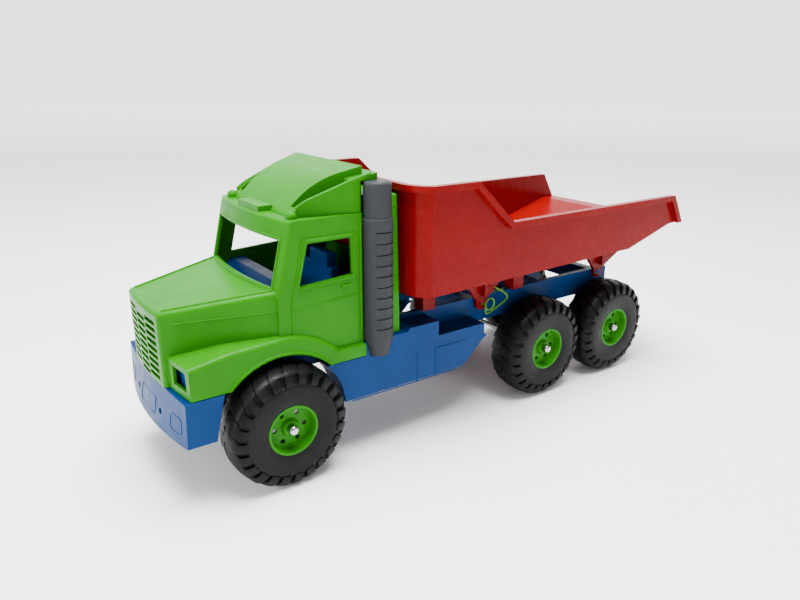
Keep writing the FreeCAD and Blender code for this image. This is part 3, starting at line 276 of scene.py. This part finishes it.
def bead_mesh(name, paths, radius, closed, sides=4):
    """Round beads along lists of points, joined in one mesh."""
    curve = bpy.data.curves.new(name, "CURVE")
    curve.dimensions = "3D"
    curve.bevel_depth = radius
    curve.bevel_resolution = sides
    curve.use_fill_caps = True
    for path in paths:
        spline = curve.splines.new("POLY")
        spline.points.add(len(path) - 1)
        for point, place in zip(spline.points, path):
            point.co = (*place, 1)
        spline.use_cyclic_u = closed
    holder = bpy.data.objects.new(name, curve)
    bpy.context.scene.collection.objects.link(holder)
    bpy.context.view_layer.update()
    mesh = bpy.data.meshes.new_from_object(holder.evaluated_get(
        bpy.context.evaluated_depsgraph_get()))
    bpy.data.objects.remove(holder)
    bpy.data.curves.remove(curve)
    return mesh


def rounded_loop(corners, radius, steps=6):
    """Closed 2-D outline with its corners rounded."""
    loop = []
    count = len(corners)
    for i, corner in enumerate(corners):
        here = Vector(corner)
        before = (Vector(corners[i - 1]) - here).normalized()
        after = (Vector(corners[(i + 1) % count]) - here).normalized()
        half = before.angle(after) / 2
        reach = radius / math.tan(half)
        centre = here + (before + after).normalized() * (radius / math.sin(half))
        start, end = here + before * reach - centre, here + after * reach - centre
        turn = start.angle_signed(end)
        for step in range(steps + 1):
            part = -turn * step / steps
            spin = Matrix.Rotation(part, 2)
            loop.append(centre + spin @ start)
    return loop


def both_sides(path):
    """A path on the left side and its mirror image on the right."""
    return [path, [Vector((-p.x, p.y, p.z)) for p in path]]


# Tyres: each half has its own row of lugs, half a pitch apart, with a raised seam between.

LUGS = 24
TYRE_MIDDLE_X = 95.0
TYRE_HALF = 25.0
TYRE_RADIUS = (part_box("tyre_front_left")[1][2] - AXLE.z) / MM
SHOULDER_RADIUS = TYRE_RADIUS - 14.5
BEAD_RADIUS = 28.5
GROOVE_WALL = 0.012  # share of a lug's pitch that a groove's slanted wall takes


def tread_rows():
    """Half section from bead to middle: (across, radius, groove share, groove depth, tilt)."""
    rows = [(22.0, BEAD_RADIUS, 0.3, 0, 0), (23.2, 33.0, 0.3, 0, 0), (24.0, 38.0, 0.3, 0, 0),
            (24.2, SHOULDER_RADIUS - 7, 0.3, 0, 0), (23.9, SHOULDER_RADIUS - 3, 0.3, 0, 0),
            (23.4, SHOULDER_RADIUS - 1.7, 0.32, 0, 0)]
    rows += [(24.8, SHOULDER_RADIUS - 1.3, 0.40, 2.0, 0.7), (24.9, SHOULDER_RADIUS, 0.40, 3.2, 0.9)]
    shoulder_steps = 7
    for step in range(1, shoulder_steps + 1):
        part = step / shoulder_steps
        angle = math.radians(90 * part * 0.87)
        rows.append((12.5 + 12.4 * math.cos(angle), SHOULDER_RADIUS + 13.6 * math.sin(angle),
                     0.40 if part < 0.7 else 0.13, 4.2 if part < 0.7 else 2.2, 1.3))
        if step == 5:
            rows.append((12.5 + 12.4 * math.cos(angle) - 0.3,
                         SHOULDER_RADIUS + 13.6 * math.sin(angle) + 0.2, 0.13, 2.2, 1.3))
    for across in (9.0, 6.0, 3.0, 0.9):
        rows.append((across, TYRE_RADIUS - 0.8 * (across / 12.5) ** 2, 0.13, 2.2, 1.0))
    rows.append((0.0, TYRE_RADIUS, 0.13, 2.2, 1.0))
    return rows


def half_tyre(side, centre, offset):
    """Points and faces of one closed half of a tyre."""
    rows = tread_rows()
    pads = 6
    shares = 4 + pads
    points, faces = [], []
    for across, radius, groove, depth, tilt in rows:
        skew = 0.55 * max(0.0, across - 3) / TYRE_HALF
        for lug in range(LUGS):
            for column in range(shares):
                if column < 4:
                    u = (0.0, GROOVE_WALL, groove - GROOVE_WALL, groove)[column]
                else:
                    u = groove + (1 - groove) * (column - 3) / (pads + 1)
                sunk = depth if column in (1, 2) else 0.0
                if column >= 3:
                    rise = (u - groove) / (1 - groove)
                    sunk = tilt * (1 - rise) ** 1.5
                angle = (lug + u + skew + offset) / LUGS * 2 * math.pi
                scale = radius - sunk * min(1.0, max(0.0, (radius - SHOULDER_RADIUS + 4.5) / 12))
                out = across - sunk * max(0.0, min(1.0, (across - 14) / 10)) * 0.8
                points.append(centre + Vector((side * out * MM, scale * MM * math.cos(angle),
                                               scale * MM * math.sin(angle))))
    inner = [(0.0, TYRE_RADIUS - 4.5), (12.0, TYRE_RADIUS - 5.0), (19.0, SHOULDER_RADIUS - 1),
             (19.0, 44.0), (18.5, BEAD_RADIUS + 1.5)]
    around = LUGS * shares
    for across, radius in inner:
        for i in range(around):
            angle = (i / shares + offset) / LUGS * 2 * math.pi
            points.append(centre + Vector((side * across * MM, radius * MM * math.cos(angle),
                                           radius * MM * math.sin(angle))))
    total = len(rows) + len(inner)
    for row in range(total):
        after = (row + 1) % total
        for i in range(around):
            nxt = (i + 1) % around
            face = (row * around + i, row * around + nxt, after * around + nxt, after * around + i)
            faces.append(face if side > 0 else face[::-1])
    return points, faces


def make_tyre(corner):
    """Lugged tyre that stands for one plain CAD tyre."""
    node = "tyre_" + corner
    centre = middle(node)
    centre.x = math.copysign(TYRE_MIDDLE_X * MM, centre.x)
    points, faces = [], []
    for side, offset in ((1, 0.0), (-1, 0.5)):
        more_points, more_faces = half_tyre(side, centre, offset)
        shift = len(points)
        points += more_points
        faces += [tuple(i + shift for i in face) for face in more_faces]
    piece = add_piece("tread_" + corner, mesh_from("tread_" + corner, points, faces),
                      "tyre_black", "wheel_" + corner, 30)
    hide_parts(node)
    seam = [centre + Vector((0, (TYRE_RADIUS - 0.35) * MM * math.cos(i * math.pi / 72),
                             (TYRE_RADIUS - 0.35) * MM * math.sin(i * math.pi / 72)))
            for i in range(144)]
    add_piece("seam_" + corner, bead_mesh("seam_" + corner, [seam], 0.35 * MM, True, sides=2),
              "tyre_black", "wheel_" + corner)


for end in ("front", "middle", "rear"):
    for side_name in SIDES:
        make_tyre(end + "_" + side_name)


# Cab trim.

def screen_y(x, z):
    """Front face of the cab's upper part: a bowed screen that leans back."""
    bow = math.sqrt(SCREEN_RADIUS ** 2 - x * x) - math.sqrt(SCREEN_RADIUS ** 2 - CAB_X ** 2)
    return 1.5 + (z - 205.0) * 18.5 / 76.0 - bow


def window_beads():
    """Raised frames round the side windows."""
    corners = [(23.5, 209.0), (92.5, 212.6), (92.0, 259.5), (35.0, 259.5)]
    loop = [spot(DOOR_X, y, z) for y, z in rounded_loop(corners, 4.5)]
    add_piece("window_frames", bead_mesh("window_frames", both_sides(loop), 1.5 * MM, True),
              "green_plastic", "truck")


def screen_bead():
    """Raised frame round the windscreen."""
    path = []
    for x, z in rounded_loop([(-80.5, 209.5), (80.5, 209.5), (80.5, 262.5), (-80.5, 262.5)], 4):
        path.append((x, z))
    full = []
    for (x0, z0), (x1, z1) in zip(path, path[1:] + path[:1]):
        steps = max(1, int(math.hypot(x1 - x0, z1 - z0) / 6))
        for step in range(steps):
            x = x0 + (x1 - x0) * step / steps
            z = z0 + (z1 - z0) * step / steps
            full.append(spot(x, screen_y(x, z) - 0.1, z))
    add_piece("screen_frame", bead_mesh("screen_frame", [full], 1.3 * MM, True),
              "green_plastic", "truck")


def hood_half(y):
    """Half width of the hood at a distance behind the axle."""
    return 52.0 + (90.0 - 52.0) * (y + 109.0) / 115.0


def hood_top(y):
    """Height of the hood's top."""
    return 196.9 + (210.5 - 196.9) * (y + 119.0) / 125.0


def hood_trim():
    """Raised ridges along the hood's top edges and a crease along its sides."""
    ridge = [spot(hood_half(y) - 7.0, y, hood_top(y) + 0.2) for y in range(-103, 4, 3)]
    add_piece("hood_ridges", bead_mesh("hood_ridges", both_sides(ridge), 1.2 * MM, False),
              "green_plastic", "truck")
    crease = [spot(hood_half(y) + 0.05, y, 186.0 + 3.0 * (y + 100) / 100)
              for y in range(-96, 3, 6)]
    add_piece("hood_creases", bead_mesh("hood_creases", both_sides(crease), 0.9 * MM, False),
              "green_plastic", "truck")
    belt = [spot(DOOR_X - 0.1, y, 189.0 + 0.04 * y) for y in range(18, 96, 7)]
    add_piece("door_belts", bead_mesh("door_belts", both_sides(belt), 0.8 * MM, False),
              "green_plastic", "truck")


def arch_beads():
    """Rolled edge round the front wheel arches."""
    low = math.asin((FENDER_LOW - AXLE_Z) / ARCH_RADIUS)
    path = [spot(FENDER_X - 0.4, -ARCH_RADIUS * math.cos(a), AXLE_Z + ARCH_RADIUS * math.sin(a))
            for a in (low + (math.pi - 2 * low) * i / 40 for i in range(41))]
    add_piece("arch_edges", bead_mesh("arch_edges", both_sides(path), 2.2 * MM, False),
              "green_plastic", "truck")


def fairing_rails():
    """Rounded rails along the wind deflector's sides."""
    path = []
    for y in range(34, 121, 3):
        across = 77.0 + 13.0 * min(1.0, (y - 28.0) / 67.0)
        if y < 52:
            height = 299.0 - (52.0 - y) * 0.32 - ((52.0 - y) ** 2) / 85.0
        else:
            height = 299.0 + 16.0 * min(y - 52.0, 43.0) / 43.0 + 7.0 * max(0.0, y - 95.0) / 30.0
        path.append(spot(across - 2.2, y, height + 0.3))
    add_piece("fairing_rails", bead_mesh("fairing_rails", both_sides(path), 2.1 * MM, False),
              "green_plastic", "truck")


def door_strips():
    """Upright strip behind each door, and the handle."""
    strip = [spot(CAB_X + 0.2, 101.0, z) for z in range(150, 272, 10)]
    add_piece("door_strips", bead_mesh("door_strips", both_sides(strip), 1.6 * MM, False, sides=2),
              "green_plastic", "truck")
    handle = [spot(DOOR_X + 0.4, y, 201.0 + 0.04 * y) for y in range(76, 90, 2)]
    add_piece("door_handles", bead_mesh("door_handles", both_sides(handle), 1.8 * MM, False),
              "green_plastic", "truck")


# Bumper and side skirts.

def bumper_y(x, z):
    """Front face of the bumper: bowed, and leaning in towards the top."""
    def bow(corner, radius):
        return corner - (math.sqrt(radius ** 2 - x * x) - math.sqrt(radius ** 2 - BUMPER_X ** 2))
    low, top = bow(-106.0, 430.0), bow(-104.0, 980.0)
    return low + (top - low) * (z - BUMPER_LOW) / (BUMPER_TOP - BUMPER_LOW)


SUNK = 0.35  # how far the beads' middle lines lie behind the bumper's face


def bumper_frames():
    """Raised outlines of the two fog lamps and the blank plate between them, and two lips."""
    def outline(middle_x, half_x, low, top, radius):
        corners = [(middle_x - half_x, low), (middle_x + half_x, low), (middle_x + half_x, top),
                   (middle_x - half_x, top)]
        return [spot(x, bumper_y(x, z) + SUNK, z) for x, z in rounded_loop(corners, radius)]
    lamps = outline(76.0, 12.0, 80.0, 98.0, 5.0)
    paths = both_sides(lamps) + [outline(0.0, 24.0, 79.0, 97.0, 2.5)]
    add_piece("bumper_frames", bead_mesh("bumper_frames", paths, 0.9 * MM, True),
              "blue_plastic", "truck")
    across = range(-98, 99, 4)
    lip_z, foot_z = BUMPER_TOP - 1.2, BUMPER_LOW + 1.2
    lip = [spot(x, bumper_y(x, lip_z) + SUNK, lip_z) for x in across]
    foot = [spot(x, bumper_y(x, foot_z) + 0.9, foot_z) for x in across]
    add_piece("bumper_lips", bead_mesh("bumper_lips", [lip, foot], 0.9 * MM, False),
              "blue_plastic", "truck")


def skirt_ribs():
    """Upright ribs and a long crease on the tank skirts."""
    paths = []
    for y in (176.0, 204.0):
        paths += both_sides([spot(SKIRT_X - 0.1, y, z) for z in (66, 80, 95, 106)])
    paths += both_sides([spot(SKIRT_X - 0.1, y, 103.0) for y in (208, 230, 252)])
    paths += both_sides([spot(SKIRT_X - 0.1, y, 66.5) for y in (84, 120, 160, 200, 238)])
    add_piece("skirt_ribs", bead_mesh("skirt_ribs", paths, 0.8 * MM, False, sides=2),
              "blue_plastic", "truck")


window_beads()
screen_bead()
hood_trim()
arch_beads()
fairing_rails()
door_strips()
bumper_frames()
skirt_ribs()


# Lock clip: one smooth wire that stands for the plain CAD clip.

def make_clip():
    """Pin, a ring and a three-cornered pull."""
    low = Vector(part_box("lock_clip")[0])
    lock = spot(0, LOCK_Y, LOCK_Z)
    coil_x, ring_radius = 78.9 * MM, 8.0 * MM
    path = [Vector((low.x + 0.2 * MM, lock.y, lock.z)), Vector((76 * MM, lock.y, lock.z)),
            Vector((78.6 * MM, lock.y, lock.z))]
    centre = Vector((coil_x, lock.y + ring_radius, lock.z))
    steps = 16
    for i in range(1, steps + 1):
        angle = math.pi + 2 * math.pi * i / steps
        path.append(centre + Vector((i * 0.08 * MM, ring_radius * math.cos(angle),
                                     ring_radius * math.sin(angle))))
    end_x = path[-1].x
    for y, z in ((-0.4, -6.0), (0.5, -11.0), (4.0, -12.6), (8.0, -11.6), (34.0, -0.5),
                 (38.6, 2.5), (38.8, 6.0), (36.5, 9.0), (18.5, 20.5), (15.0, 21.8)):
        path.append(Vector((end_x, lock.y + y * MM, lock.z + z * MM)))
    curve = bpy.data.curves.new("clip_wire", "CURVE")
    curve.dimensions = "3D"
    curve.bevel_depth = 1.1 * MM
    curve.bevel_resolution = 4
    curve.use_fill_caps = True
    spline = curve.splines.new("NURBS")
    spline.points.add(len(path) - 1)
    for point, place in zip(spline.points, path):
        point.co = (*place, 1)
    spline.order_u = 3
    spline.use_endpoint_u = True
    holder = bpy.data.objects.new("clip_wire", curve)
    bpy.context.scene.collection.objects.link(holder)
    mesh = bpy.data.meshes.new_from_object(holder.evaluated_get(
        bpy.context.evaluated_depsgraph_get()))
    bpy.data.objects.remove(holder)
    piece = add_piece("clip_wire", mesh, "green_wire", "clip")
    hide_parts("lock_clip")


make_clip()


# Stage, light and camera.

CAMERA_HEADING = 54.54


def make_stage():
    """Plain pale floor that curves up behind the truck and glows further away."""
    reach, back, curve = 14.0, 7.0, 24
    points, faces = [], []
    for i in range(curve + 1):
        angle = math.radians(90 * i / curve)
        along = back + 2.5 * math.sin(angle)
        points += [(-reach, along, 2.5 - 2.5 * math.cos(angle)),
                   (reach, along, 2.5 - 2.5 * math.cos(angle))]
    points = [(-reach, -reach, 0), (reach, -reach, 0)] + points + [(-reach, back + 2.5, 9),
                                                                   (reach, back + 2.5, 9)]
    for i in range(0, len(points) - 2, 2):
        faces.append((i, i + 1, i + 3, i + 2))
    heading = Matrix.Rotation(math.radians(CAMERA_HEADING), 4, "Z")
    mesh = mesh_from("floor", [heading @ Vector(point) for point in points], faces)
    mesh.shade_smooth()
    floor = bpy.data.objects.new("floor", mesh)
    bpy.context.scene.collection.objects.link(floor)
    shader = Shader("floor_white")
    shader.link(shader.ramp(shader.noise(3), [(0.3, (0.90, 0.90, 0.90)), (0.7, (0.92, 0.92, 0.92))]),
                shader.surface.inputs["Base Color"])
    shader.surface.inputs["Roughness"].default_value = 0.8
    shader.surface.inputs["Specular IOR Level"].default_value = 0.1
    distance = shader.add("ShaderNodeVectorMath", operation="LENGTH")
    shader.link(shader.place, distance.inputs[0])
    glow = shader.range(distance.outputs["Value"], 0.0, 1.5, 1.0, 5.0)
    shader.surface.inputs["Emission Color"].default_value = (1, 1, 1, 1)
    shader.link(glow, shader.surface.inputs["Emission Strength"])
    mesh.materials.append(shader.material)


def add_light(name, place, target, size, power):
    """Square area light aimed at a point."""
    data = bpy.data.lights.new(name, "AREA")
    data.shape = "RECTANGLE"
    data.size, data.size_y = size
    data.energy = power
    light = bpy.data.objects.new(name, data)
    bpy.context.scene.collection.objects.link(light)
    light.location = place
    light.rotation_euler = (Vector(target) - Vector(place)).to_track_quat("-Z", "Y").to_euler()


def make_lights():
    """Soft box overhead, a fill from the camera's side and a low one at the nose."""
    aim = (0, 0, 0.15)
    add_light("overhead", (0.1, -0.1, 2.2), aim, (1.5, 1.5), 230)
    add_light("nose_fill", (-0.3, -2.4, 1.1), aim, (1.4, 1.2), 60)
    add_light("side_fill", (2.4, 0.3, 0.9), aim, (1.6, 1.2), 6)
    world = bpy.data.worlds.new("studio")
    world.use_nodes = True
    world.node_tree.nodes["Background"].inputs["Color"].default_value = (1, 1, 1, 1)
    world.node_tree.nodes["Background"].inputs["Strength"].default_value = 0.6
    bpy.context.scene.world = world


def make_camera():
    """Camera at the reference view: to the front left, a little above."""
    data = bpy.data.cameras.new("camera")
    data.sensor_width = 36.0
    data.lens = 29.91
    data.clip_start = 0.01
    camera = bpy.data.objects.new("camera", data)
    bpy.context.scene.collection.objects.link(camera)
    heading, pitch, roll = (math.radians(v) for v in (CAMERA_HEADING, 18.93, 0.31))
    look = Vector((-math.sin(heading) * math.cos(pitch), math.cos(heading) * math.cos(pitch),
                   -math.sin(pitch)))
    turn = look.to_track_quat("-Z", "Y").to_matrix().to_4x4()
    camera.matrix_world = (Matrix.Translation(spot(683.94, -267.61, 422.58)) @ turn
                           @ Matrix.Rotation(roll, 4, "Z"))
    bpy.context.scene.camera = camera


make_stage()
make_lights()
make_camera()
bpy.context.view_layer.update()
